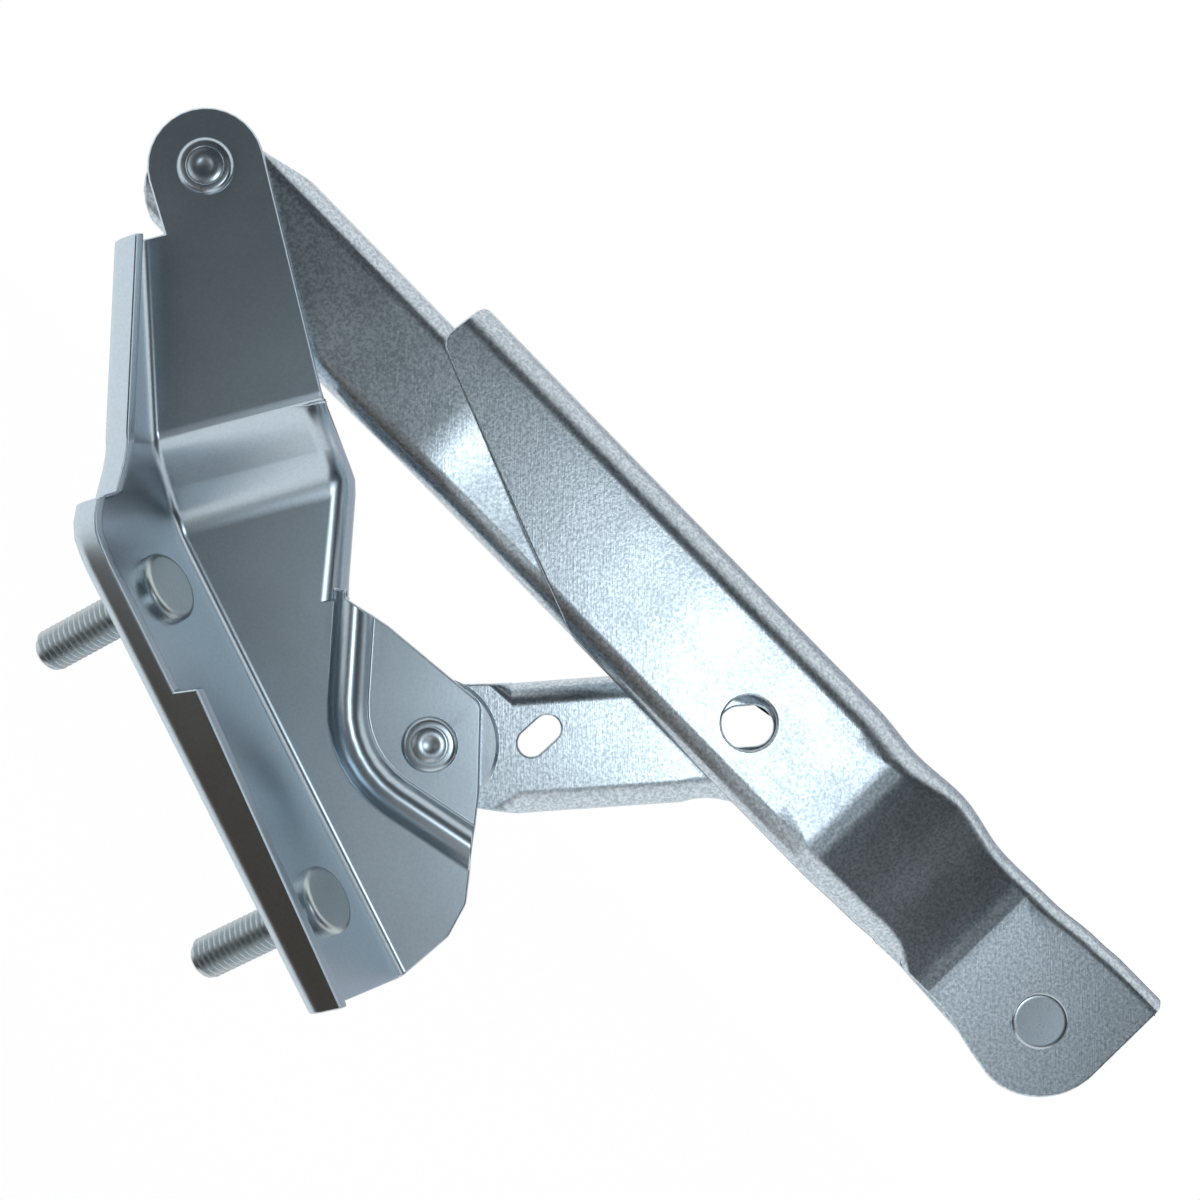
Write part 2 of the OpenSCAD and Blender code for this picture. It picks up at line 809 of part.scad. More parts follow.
// Shouldered pivot: a foot in the bonnet arm, a shank through the eye and a closed head
module hidden_pivot() {
    turned(hidden_x, hidden_z, bright_zinc)
        polygon([
            [0, foot_y],
            [foot_r, foot_y],
            [foot_r, arm_eye_y - ear_spacer_t],
            [rivet_r, arm_eye_y - ear_spacer_t],
            [rivet_r, hidden_back + washer_t],
            [head_r, hidden_back + washer_t],
            [head_r, hidden_back + washer_t + closed_h / 2],
            [head_r - closed_h / 2, hidden_back + washer_t + closed_h],
            [0, hidden_back + washer_t + closed_h]
        ]);
}

module hidden_bush() {
    turned(hidden_x, hidden_z, bronze)
        ring(rivet_r + run_gap, bush_r, arm_eye_y, arm_eye_y + sheet_t);
}

module hidden_spacer() {
    turned(hidden_x, hidden_z, bright_zinc)
        ring(rivet_r + seat_gap, foot_r, arm_eye_y - ear_spacer_t, arm_eye_y - face_gap);
}

module hidden_back_washer() {
    turned(hidden_x, hidden_z, bright_zinc)
        ring(rivet_r + seat_gap, washer_r, hidden_back, hidden_back + washer_t);
}

// The bonnet rivet's front head is closed flush with the bonnet arm, and a sleeve guards its shank
sleeve_t = 0.5;
flush_h = 0.3;
module bonnet_rivet() {
    turned(bonnet_x, 0, bright_zinc)
        polygon([
            [0, bonnet_end_y - flush_h],
            [head_r - flush_h, bonnet_end_y - flush_h],
            [head_r, bonnet_end_y],
            [rivet_r, bonnet_end_y],
            [rivet_r, lobe_back + washer_t],
            [head_r, lobe_back + washer_t],
            [head_r, lobe_back + washer_t + closed_h / 2],
            [head_r - closed_h / 2, lobe_back + washer_t + closed_h],
            [0, lobe_back + washer_t + closed_h]
        ]);
}

module bonnet_sleeve() {
    turned(bonnet_x, 0, bronze)
        ring(rivet_r + seat_gap, rivet_r + sleeve_t, link_y - bonnet_spacer_t, lobe_back);
}

module bonnet_spacer() {
    turned(bonnet_x, 0, bright_zinc)
        ring(rivet_r + sleeve_t + seat_gap, link_eye_r, link_y - bonnet_spacer_t, link_y - face_gap);
}

module bonnet_back_washer() {
    turned(bonnet_x, 0, bright_zinc)
        ring(rivet_r + seat_gap, link_eye_r, lobe_back, lobe_back + washer_t);
}

body_bracket();
front_stud();
rear_stud();
long_arm();
short_link();
bonnet_arm();
ear_rivet();
ear_bush();
ear_spacer();
ear_back_washer();
lobe_rivet();
lobe_bush();
lobe_pad();
lobe_back_washer();
hidden_pivot();
hidden_bush();
hidden_spacer();
hidden_back_washer();
bonnet_rivet();
bonnet_sleeve();
bonnet_spacer();
bonnet_back_washer();
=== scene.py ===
"""Looks of a pressed-steel bonnet hinge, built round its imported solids."""

import json
import logging
import math
from dataclasses import dataclass, field
from enum import Enum

import bmesh
import bpy
from mathutils import Matrix, Vector


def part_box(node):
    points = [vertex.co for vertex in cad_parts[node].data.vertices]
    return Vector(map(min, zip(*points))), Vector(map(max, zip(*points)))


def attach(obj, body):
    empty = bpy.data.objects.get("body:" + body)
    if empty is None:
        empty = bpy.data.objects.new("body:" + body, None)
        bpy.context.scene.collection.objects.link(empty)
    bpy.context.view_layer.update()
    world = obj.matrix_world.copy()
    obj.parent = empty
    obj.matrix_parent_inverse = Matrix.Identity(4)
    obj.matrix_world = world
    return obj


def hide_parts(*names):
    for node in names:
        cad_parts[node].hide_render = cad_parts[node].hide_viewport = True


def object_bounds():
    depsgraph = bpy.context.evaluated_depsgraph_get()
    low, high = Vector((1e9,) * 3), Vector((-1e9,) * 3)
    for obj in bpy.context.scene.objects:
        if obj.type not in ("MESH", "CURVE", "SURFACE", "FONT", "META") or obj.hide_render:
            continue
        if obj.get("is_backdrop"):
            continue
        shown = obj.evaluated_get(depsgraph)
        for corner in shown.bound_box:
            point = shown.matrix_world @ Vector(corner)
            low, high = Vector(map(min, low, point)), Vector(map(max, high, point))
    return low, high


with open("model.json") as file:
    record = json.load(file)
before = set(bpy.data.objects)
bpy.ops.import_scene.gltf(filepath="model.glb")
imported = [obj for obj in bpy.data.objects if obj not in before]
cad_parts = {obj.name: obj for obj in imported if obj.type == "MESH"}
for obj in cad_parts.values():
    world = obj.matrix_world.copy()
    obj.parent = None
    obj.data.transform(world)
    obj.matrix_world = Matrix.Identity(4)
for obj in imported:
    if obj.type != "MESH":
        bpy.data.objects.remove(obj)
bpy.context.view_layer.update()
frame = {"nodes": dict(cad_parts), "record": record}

LOG = logging.getLogger("bonnet_hinge")
MM = 0.001
SLIVER = 0.002 * MM
Y_AXIS = (0.0, 1.0, 0.0)
Z_AXIS = (0.0, 0.0, 1.0)

Colour = tuple[float, float, float]
Points = tuple[tuple[float, float], ...]


class Finish(Enum):
    """Material slots of the record."""

    BRACKET = "bracket_zinc"
    ARM = "arm_zinc"
    RIVET = "rivet_zinc"
    STUD = "stud_zinc"
    BUSH = "bush_bronze"


class Body(Enum):
    """Moving bodies of the hinge."""

    BRACKET = "bracket"
    LONG_ARM = "long_arm"
    SHORT_LINK = "short_link"
    BONNET_ARM = "bonnet_arm"


@dataclass(frozen=True)
class GrainedMetal:
    """A metal surface with a fine grain, such as spangled zinc plate.

    Attributes:
        name: Name of the material.
        colour: Linear colour of the bright grains.
        dark: Linear colour of the duller grains.
        roughness: Roughness of the surface.
        grain: Number of grains per metre.
        spread: Half width of the change between the two colours.
        bump: Height of the grains, in metres.
        cloud: Strength of the broad, soft unevenness of the gloss.
        rub: Height of the fine streaks rubbed into the surface, in metres.
        cloud_size: Width of a cloud, in grains.
        cloud_range: Stretch of the cloud noise that the gloss follows.
        streak_turn: Turn of the streaks about the pivots' direction, in degrees.
        streak_length: Length of a streak, in streak widths.
        streak_width: Width of a streak, in grains.
        grain_layers: Number of finer layers in the grains.
        broad_layers: Number of finer layers in the clouds and the streaks.
        layer_gain: Strength of each finer layer against the one before.
    """

    name: str
    colour: Colour
    dark: Colour
    roughness: float
    grain: float = 2500.0
    spread: float = 0.2
    bump: float = 6e-6
    cloud: float = 0.03
    rub: float = 0.0
    cloud_size: float = 20.0
    cloud_range: tuple[float, float] = (0.3, 0.7)
    streak_turn: float = 44.0
    streak_length: float = 14.0
    streak_width: float = 0.5
    grain_layers: float = 3.0
    broad_layers: float = 2.0
    layer_gain: float = 0.65

    def material(self) -> bpy.types.Material:
        """Builds the material.

        Returns:
            The new material.
        """
        material = bpy.data.materials.new(self.name)
        material.use_nodes = True
        tree = material.node_tree
        shader = tree.nodes["Principled BSDF"]
        shader.inputs["Metallic"].default_value = 1.0
        place = tree.nodes.new("ShaderNodeTexCoord").outputs["Object"]
        grains = self._noise(tree, place, self.grain, self.grain_layers)
        tree.links.new(self._tint(tree, grains), shader.inputs["Base Color"])
        tree.links.new(self._gloss(tree, place), shader.inputs["Roughness"])
        tree.links.new(self._relief(tree, place, grains), shader.inputs["Normal"])
        return material

    def _tint(self, tree: bpy.types.NodeTree, grains: bpy.types.NodeSocket) -> bpy.types.NodeSocket:
        """Colours the grains.

        Args:
            tree: Node tree of the material.
            grains: Noise of the grains.

        Returns:
            The colour.
        """
        ramp = tree.nodes.new("ShaderNodeValToRGB")
        ramp.color_ramp.elements[0].position = 0.5 - self.spread
        ramp.color_ramp.elements[0].color = (*self.dark, 1.0)
        ramp.color_ramp.elements[1].position = 0.5 + self.spread
        ramp.color_ramp.elements[1].color = (*self.colour, 1.0)
        tree.links.new(grains, ramp.inputs["Fac"])
        return ramp.outputs["Color"]

    def _gloss(self, tree: bpy.types.NodeTree, place: bpy.types.NodeSocket) -> bpy.types.NodeSocket:
        """Makes the gloss a little uneven.

        Args:
            tree: Node tree of the material.
            place: Place on the object.

        Returns:
            The roughness.
        """
        clouds = self._noise(tree, place, self.grain / self.cloud_size, self.broad_layers)
        gloss = tree.nodes.new("ShaderNodeMapRange")
        gloss.inputs["From Min"].default_value = self.cloud_range[0]
        gloss.inputs["From Max"].default_value = self.cloud_range[1]
        gloss.inputs["To Min"].default_value = self.roughness - self.cloud
        gloss.inputs["To Max"].default_value = self.roughness + self.cloud
        tree.links.new(clouds, gloss.inputs["Value"])
        return gloss.outputs["Result"]

    def _relief(
        self, tree: bpy.types.NodeTree, place: bpy.types.NodeSocket, grains: bpy.types.NodeSocket
    ) -> bpy.types.NodeSocket:
        """Raises the grains and rubs the streaks in.

        Args:
            tree: Node tree of the material.
            place: Place on the object.
            grains: Noise of the grains.

        Returns:
            The normal.
        """
        stretch = tree.nodes.new("ShaderNodeMapping")
        stretch.vector_type = "TEXTURE"
        stretch.inputs["Rotation"].default_value = (0.0, math.radians(self.streak_turn), 0.0)
        stretch.inputs["Scale"].default_value = (self.streak_length, 1.0, 1.0)
        tree.links.new(place, stretch.inputs["Vector"])
        streaks = self._noise(
            tree, stretch.outputs["Vector"], self.grain / self.streak_width, self.broad_layers
        )
        raised = self._bump(tree, grains, self.bump)
        rubbed = self._bump(tree, streaks, self.rub)
        tree.links.new(raised.outputs["Normal"], rubbed.inputs["Normal"])
        return rubbed.outputs["Normal"]

    def _noise(
        self, tree: bpy.types.NodeTree, place: bpy.types.NodeSocket, scale: float, layers: float
    ) -> bpy.types.NodeSocket:
        """Adds a noise texture.

        Args:
            tree: Node tree of the material.
            place: Place that the noise follows.
            scale: Number of features per metre.
            layers: Number of finer layers.

        Returns:
            The noise.
        """
        noise = tree.nodes.new("ShaderNodeTexNoise")
        noise.inputs["Scale"].default_value = scale
        noise.inputs["Detail"].default_value = layers
        noise.inputs["Roughness"].default_value = self.layer_gain
        tree.links.new(place, noise.inputs["Vector"])
        return noise.outputs["Fac"]

    @staticmethod
    def _bump(
        tree: bpy.types.NodeTree, height: bpy.types.NodeSocket, distance: float
    ) -> bpy.types.Node:
        """Adds a bump at full strength.

        Args:
            tree: Node tree of the material.
            height: Height of the bump as a share.
            distance: Full height, in metres.

        Returns:
            The bump node.
        """
        bump = tree.nodes.new("ShaderNodeBump")
        bump.inputs["Distance"].default_value = distance
        bump.inputs["Strength"].default_value = 1.0
        tree.links.new(height, bump.inputs["Height"])
        return bump


FINISHES = {
    Finish.BRACKET: GrainedMetal(
        "satin_bracket_plate", (0.58, 0.68, 0.75), (0.51, 0.60, 0.67), roughness=0.29,
        grain=1800.0, cloud=0.008,
    ),
    Finish.ARM: GrainedMetal(
        "spangled_arm_plate", (0.68, 0.76, 0.82), (0.40, 0.47, 0.52), roughness=0.305,
        grain=1700.0, spread=0.12, bump=15e-6, cloud=0.02, rub=12e-6,
    ),
    Finish.RIVET: GrainedMetal(
        "turned_rivet_plate", (0.55, 0.63, 0.69), (0.47, 0.55, 0.60), roughness=0.28
    ),
    Finish.STUD: GrainedMetal(
        "rolled_stud_plate", (0.58, 0.64, 0.66), (0.48, 0.54, 0.56), roughness=0.36
    ),
    Finish.BUSH: GrainedMetal(
        "plain_bush_bronze", (0.42, 0.30, 0.13), (0.36, 0.25, 0.10), roughness=0.42
    ),
}

Looks = dict[Finish, bpy.types.Material]


@dataclass
class Piece:
    """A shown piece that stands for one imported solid.

    Attributes:
        node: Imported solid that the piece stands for.
        body: Body that carries the piece.
        finish: Finish of the piece.
        shown: The piece, once it is built.
    """

    node: str
    body: Body
    finish: Finish
    shown: bpy.types.Object | None = field(default=None, init=False)

    def shape(self, mesh: bmesh.types.BMesh) -> None:
        """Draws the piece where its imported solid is.

        Args:
            mesh: Empty mesh to draw in.
        """
        raise NotImplementedError

    def build(self) -> bpy.types.Object:
        """Builds the piece and puts it on its body.

        Returns:
            The new piece.
        """
        mesh = bmesh.new()
        self.shape(mesh)
        data = bpy.data.meshes.new(f"{self.node}_look")
        mesh.to_mesh(data)
        mesh.free()
        self.shown = bpy.data.objects.new(f"{self.node}_look", data)
        bpy.context.scene.collection.objects.link(self.shown)
        even = self.shown.modifiers.new("even_normals", "WEIGHTED_NORMAL")
        even.keep_sharp = True
        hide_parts(self.node)
        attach(self.shown, self.body.value)
        LOG.info("built %s with %d faces", self.node, len(data.polygons))
        return self.shown

    def dress(self, looks: Looks) -> None:
        """Gives the piece its finish.

        Args:
            looks: Material of each finish.
        """
        self.shown.data.materials.append(looks[self.finish])


def soften(mesh: bmesh.types.BMesh, sharp: float) -> None:
    """Shades a mesh smoothly, except over its sharp edges.

    Args:
        mesh: Mesh to shade.
        sharp: Least angle of a sharp edge, in degrees.
    """
    bmesh.ops.dissolve_degenerate(mesh, edges=mesh.edges, dist=SLIVER)
    bmesh.ops.recalc_face_normals(mesh, faces=mesh.faces)
    for face in mesh.faces:
        face.smooth = True
    for edge in mesh.edges:
        edge.smooth = edge.calc_face_angle(0.0) < math.radians(sharp)


def smooth_step(share: float) -> float:
    """Eases a share from 0 to 1.

    Args:
        share: Share, which may lie outside 0 to 1.

    Returns:
        The eased share.
    """
    share = min(1.0, max(0.0, share))
    return share * share * (3.0 - 2.0 * share)


def all_of(mesh: bmesh.types.BMesh) -> list[bmesh.types.BMVert | bmesh.types.BMEdge | bmesh.types.BMFace]:
    """Gives every vertex, edge and face of a mesh.

    Args:
        mesh: Mesh to list.

    Returns:
        The list.
    """
    return mesh.verts[:] + mesh.edges[:] + mesh.faces[:]


@dataclass
class PressedSheet(Piece):
    """A pressed sheet with broken edges.

    Attributes:
        edge: Width of the broken edges.
        edge_parts: Number of faces across a broken edge.
        corner: Least angle of an edge that is broken, in degrees.
        level: Greatest angle between faces that count as one, in degrees.
        sharp: Least angle of an edge that is shaded sharp, in degrees.
        merge: Distance at which the solid's corners are merged.
        waves: Where the press drew the long edges in, as (place along X, rise of the upper
            edge, rise of the lower edge), in millimetres.
        wave_cuts: Number of cuts from one of these places to the next.
        flat: Half height of the middle strip that stays as it is.
        drawn: Half height past which the sheet moves with its edge.
    """

    edge: float = 0.4 * MM
    edge_parts: int = 2
    corner: float = 40.0
    level: float = 0.6
    sharp: float = 50.0
    merge: float = 0.01 * MM
    waves: tuple[tuple[float, float, float], ...] = ()
    wave_cuts: int = 6
    flat: float = 8.0 * MM
    drawn: float = 12.0 * MM

    def shape(self, mesh: bmesh.types.BMesh) -> None:
        """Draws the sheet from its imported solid, breaks its edges and draws them in.

        Args:
            mesh: Empty mesh to draw in.
        """
        solid = frame["nodes"][self.node]
        mesh.from_mesh(solid.data)
        mesh.transform(solid.matrix_world)
        bmesh.ops.remove_doubles(mesh, verts=mesh.verts, dist=self.merge)
        bmesh.ops.dissolve_limit(
            mesh, angle_limit=math.radians(self.level), verts=mesh.verts, edges=mesh.edges
        )
        bmesh.ops.recalc_face_normals(mesh, faces=mesh.faces)
        least = math.radians(self.corner)
        bmesh.ops.bevel(
            mesh, geom=[edge for edge in mesh.edges if edge.calc_face_angle(0.0) > least],
            offset=self.edge, offset_type="OFFSET", segments=self.edge_parts,
            profile=0.5, affect="EDGES", clamp_overlap=False, material=-1,
        )
        self._draw_in(mesh)
        self._keep_in_box(mesh)
        soften(mesh, self.sharp)

    def _draw_in(self, mesh: bmesh.types.BMesh) -> None:
        """Cuts the sheet along its length and draws its long edges in.

        Args:
            mesh: Mesh of the sheet.
        """
        low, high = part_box(self.node)
        middle = (low[2] + high[2]) / 2.0
        for (start, _, _), (end, _, _) in zip(self.waves, self.waves[1:]):
            for cut in range(self.wave_cuts):
                along = start + (end - start) * cut / self.wave_cuts
                bmesh.ops.bisect_plane(
                    mesh, geom=all_of(mesh), plane_co=(along * MM, 0.0, 0.0), plane_no=(1.0, 0.0, 0.0)
                )
        for vert in mesh.verts:
            off = vert.co.z - middle
            share = smooth_step((abs(off) - self.flat) / (self.drawn - self.flat))
            vert.co.z += share * self._rise(vert.co.x / MM, off > 0.0) * MM

    def _rise(self, along: float, upper: bool) -> float:
        """Gives how far a long edge was drawn up at a place.

        Args:
            along: Place along X, in millimetres.
            upper: Whether it is the upper edge.

        Returns:
            The rise, in millimetres.
        """
        side = 0 if upper else 1
        for (start, *first), (end, *last) in zip(self.waves, self.waves[1:]):
            if start <= along < end:
                share = smooth_step((along - start) / (end - start))
                return first[side] + (last[side] - first[side]) * share
        return 0.0

    def _keep_in_box(self, mesh: bmesh.types.BMesh) -> None:
        """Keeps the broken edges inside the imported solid's box.

        Args:
            mesh: Mesh of the sheet.
        """
        low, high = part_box(self.node)
        for vert in mesh.verts:
            vert.co = [min(most, max(least, place)) for least, place, most in zip(low, vert.co, high)]


@dataclass
class TurnedRivet(Piece):
    """A rivet with a turned front head and a closed head at the back.

    Attributes:
        front: Half section of the front head as (radius, depth) from the axis outwards, in millimetres.
        shank: Radius of the shank, in millimetres.
        closed: Height of the closed head, in millimetres.
        closed_rim: Half section of the closed head's rim as (way in, way down), in closed heights.
        steps: Number of faces round the rivet.
        sharp: Least angle of an edge that is shaded sharp, in degrees.
    """

    front: Points = ()
    shank: float = 3.5
    closed: float = 2.0
    closed_rim: Points = ((0.0, 1.0), (0.0, 0.6), (0.3, 0.2), (0.6, 0.0))
    steps: int = 72
    sharp: float = 42.0

    def shape(self, mesh: bmesh.types.BMesh) -> None:
        """Draws the rivet by spinning its half section.

        Args:
            mesh: Empty mesh to draw in.
        """
        low, high = (Vector(corner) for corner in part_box(self.node))
        middle = (low + high) / 2.0
        head, seat = self.front[-1]
        back = (high.y - low.y) / MM
        section = [
            *self.front, (self.shank, seat), (self.shank, back - self.closed),
            *((head - way_in * self.closed, back - down * self.closed) for way_in, down in self.closed_rim),
            (0.0, back),
        ]
        ends = [mesh.verts.new((middle.x + r * MM, low.y + y * MM, middle.z)) for r, y in section]
        rims = [mesh.edges.new(pair) for pair in zip(ends, ends[1:])]
        bmesh.ops.spin(
            mesh, geom=ends + rims, cent=middle, axis=Y_AXIS,
            angle=math.tau, steps=self.steps, use_merge=True,
        )
        bmesh.ops.remove_doubles(mesh, verts=mesh.verts, dist=SLIVER)
        soften(mesh, self.sharp)


@dataclass
class ThreadedStud(Piece):
    """A stud with a flat head and a rolled thread, with its sizes in millimetres.

    Attributes:
        mount: Mount of the record that the stud makes.
        head_r: Radius of the head.
        head_h: Height of the head.
        head_round: Rounding of the head's outer rim.
        round_parts: Number of faces across that rounding.
        sides: Number of faces round the head and the collar.
        sheet: Depth of the sheet between the head and the seat.
        collar: How far the collar in the sheet stands out past the thread.
        point: Height of the bevelled point.
        pitch: Pitch of the thread.
        depth: Depth of the thread.
        form: Half section of one turn as (share of the depth, share of the pitch).
        run_in: Number of turns drawn before the seat.
        buried: Length of the thread kept inside the collar.
        steps: Number of faces round one turn.
        merge: Distance at which neighbouring turns are merged.
        sharp: Least angle of an edge that is shaded sharp, in degrees.
    """

    mount: str = ""
    head_r: float = 6.6
    head_h: float = 2.2
    head_round: float = 1.3
    round_parts: int = 6
    sides: int = 64
    sheet: float = 2.45
    collar: float = 0.5
    point: float = 1.2
    pitch: float = 1.25
    depth: float = 0.65
    form: Points = ((0.0, 0.0), (0.0, 0.14), (1.0, 0.45), (1.0, 0.6), (0.0, 0.9), (0.0, 1.0))
    run_in: float = 2.0
    buried: float = 0.5
    steps: int = 24
    merge: float = 0.002
    sharp: float = 35.0

    def shape(self, mesh: bmesh.types.BMesh) -> None:
        """Draws the stud along Z in millimetres and turns it to its mount.

        Args:
            mesh: Empty mesh to draw in.
        """
        mount = next(m for m in frame["record"]["mounts"] if m["name"] == self.mount)
        radius = mount["dims"]["r_mm"]
        tip = mount["dims"]["length_mm"] + self.point
        self._thread(mesh, radius, tip)
        self._head(mesh, radius)
        turn = Vector(mount["axis"]).to_track_quat("Z", "Y").to_matrix().to_4x4()
        mesh.transform(Matrix.Translation(Vector(mount["pos_m"])) @ turn @ Matrix.Scale(MM, 4))
        soften(mesh, self.sharp)

    def _thread(self, mesh: bmesh.types.BMesh, radius: float, tip: float) -> None:
        """Sweeps one turn's section into the thread, cuts it to length and points it.

        Args:
            mesh: Mesh to draw in.
            radius: Outer radius of the thread.
            tip: Height of the point.
        """
        root = radius - self.depth
        first = -self.run_in * self.pitch
        ends = [
            mesh.verts.new((root + out * self.depth, 0.0, first + up * self.pitch)) for out, up in self.form
        ]
        rims = [mesh.edges.new(pair) for pair in zip(ends, ends[1:])]
        turns = math.ceil((tip - first) / self.pitch) + 1
        bmesh.ops.spin(
            mesh, geom=ends + rims, cent=(0.0, 0.0, 0.0), axis=Z_AXIS,
            dvec=(0.0, 0.0, self.pitch / self.steps), angle=math.tau * turns, steps=self.steps * turns,
        )
        bmesh.ops.remove_doubles(mesh, verts=mesh.verts, dist=self.merge)
        for height, way in ((-self.buried, -1.0), (tip, 1.0)):
            bmesh.ops.bisect_plane(
                mesh, geom=all_of(mesh), plane_co=(0.0, 0.0, height), plane_no=(0.0, 0.0, way),
                clear_outer=True,
            )
        bmesh.ops.holes_fill(mesh, edges=[edge for edge in mesh.edges if edge.is_boundary], sides=0)
        for vert in mesh.verts:
            flat = Vector((vert.co.x, vert.co.y))
            most = radius - max(0.0, vert.co.z - tip + self.point)
            if flat.length > most:
                vert.co.x, vert.co.y = flat * (most / flat.length)

    def _head(self, mesh: bmesh.types.BMesh, radius: float) -> None:
        """Adds the rounded head and the collar in the sheet.

        Args:
            mesh: Mesh to draw in.
            radius: Outer radius of the thread.
        """
        front = -self.head_h - self.sheet
        head = self._disc(mesh, self.head_r, front, -self.sheet)
        rim = {
            edge for vert in head for edge in vert.link_edges
            if all(abs(end.co.z - front) < self.merge for end in edge.verts)
        }
        bmesh.ops.bevel(
            mesh, geom=list(rim), offset=self.head_round, offset_type="OFFSET",
            segments=self.round_parts, profile=0.5, affect="EDGES", material=-1,
        )
        self._disc(mesh, radius + self.collar, -self.sheet, 0.0)

    def _disc(
        self, mesh: bmesh.types.BMesh, radius: float, low: float, high: float
    ) -> list[bmesh.types.BMVert]:
        """Adds a plain disc round the stud's axis.

        Args:
            mesh: Mesh to draw in.
            radius: Radius of the disc.
            low: Height of its lower face.
            high: Height of its upper face.

        Returns:
            The disc's vertices.
        """
        return bmesh.ops.create_cone(
            mesh, cap_ends=True, segments=self.sides, radius1=radius, radius2=radius, depth=high - low,
            matrix=Matrix.Translation((0.0, 0.0, (low + high) / 2.0)),
        )["verts"]


TURNED_RINGS = (
    (0.0, 0.14), (1.2, 0.14), (1.35, 0.09), (2.9, 0.09), (3.05, 0.16), (3.35, 0.16),
    (3.5, 0.0), (4.3, 0.0), (4.75, 0.12), (5.05, 0.45), (5.2, 0.9), (5.2, 1.2),
)
FLUSH_HEAD = ((0.0, 0.06), (4.3, 0.02), (4.7, 0.0), (5.05, 0.1), (5.2, 0.3))
BONNET_WAVES = (
    (106.0, 0.0, 0.0), (117.0, -0.8, 0.0), (128.5, 0.0, 0.4), (142.0, -1.8, 1.1),
    (154.0, -1.5, 1.2), (166.0, -0.4, 0.3), (172.0, 0.0, 0.0),
)


@dataclass
class Hinge:
    """The whole hinge.

    Attributes:
        pieces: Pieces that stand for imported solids.
        edge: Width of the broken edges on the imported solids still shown.
        edge_parts: Number of faces across such an edge.
        corner: Least angle of an edge that is broken, in degrees.
    """

    pieces: list[Piece] = field(default_factory=lambda: [
        PressedSheet("body_bracket", Body.BRACKET, Finish.BRACKET),
        PressedSheet("long_arm", Body.LONG_ARM, Finish.ARM),
        PressedSheet("short_link", Body.SHORT_LINK, Finish.ARM),
        PressedSheet("bonnet_arm", Body.BONNET_ARM, Finish.ARM, waves=BONNET_WAVES),
        TurnedRivet("ear_rivet", Body.BRACKET, Finish.RIVET, front=TURNED_RINGS),
        TurnedRivet("lobe_rivet", Body.BRACKET, Finish.RIVET, front=TURNED_RINGS),
        TurnedRivet("bonnet_rivet", Body.BONNET_ARM, Finish.RIVET, front=FLUSH_HEAD),
        ThreadedStud("front_stud", Body.BRACKET, Finish.STUD, mount="front_stud"),
        ThreadedStud("rear_stud", Body.BRACKET, Finish.STUD, mount="rear_stud"),
    ])
    edge: float = 0.12 * MM
    edge_parts: int = 2
    corner: float = 40.0

    def build(self) -> None:
        """Builds every piece."""
        for piece in self.pieces:
            piece.build()

    def dress(self, looks: Looks) -> None:
        """Gives every piece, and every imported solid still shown, its finish.

        Args:
            looks: Material of each finish.
        """
        for piece in self.pieces:
            piece.dress(looks)
        taken = {piece.node for piece in self.pieces}
        for part in frame["record"]["subparts"]:
            if part["node"] not in taken:
                self._dress_solid(frame["nodes"][part["node"]], looks[Finish(part["material_slot"])])

    def _dress_solid(self, solid: bpy.types.Object, look: bpy.types.Material) -> None:
        """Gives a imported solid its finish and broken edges.

        Args:
            solid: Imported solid.
            look: Its material.
        """
        solid.data.materials.clear()
        solid.data.materials.append(look)
        broken = solid.modifiers.new("broken_edge", "BEVEL")
        broken.width = self.edge
        broken.segments = self.edge_parts
        broken.limit_method = "ANGLE"
        broken.angle_limit = math.radians(self.corner)
        LOG.info("dressed %s", solid.name)


@dataclass(frozen=True)
class Card:
    """A plain card of the studio that only reflections see.

    Attributes:
        name: Name of the card.
        aim: Direction from the hinge to the card as (picture right, picture up, towards the camera).
        distance: Distance from the hinge.
        size: Width and height.
        colour: Linear colour of the card.
    """

    name: str
    aim: tuple[float, float, float]
    distance: float
    size: tuple[float, float]
    colour: Colour


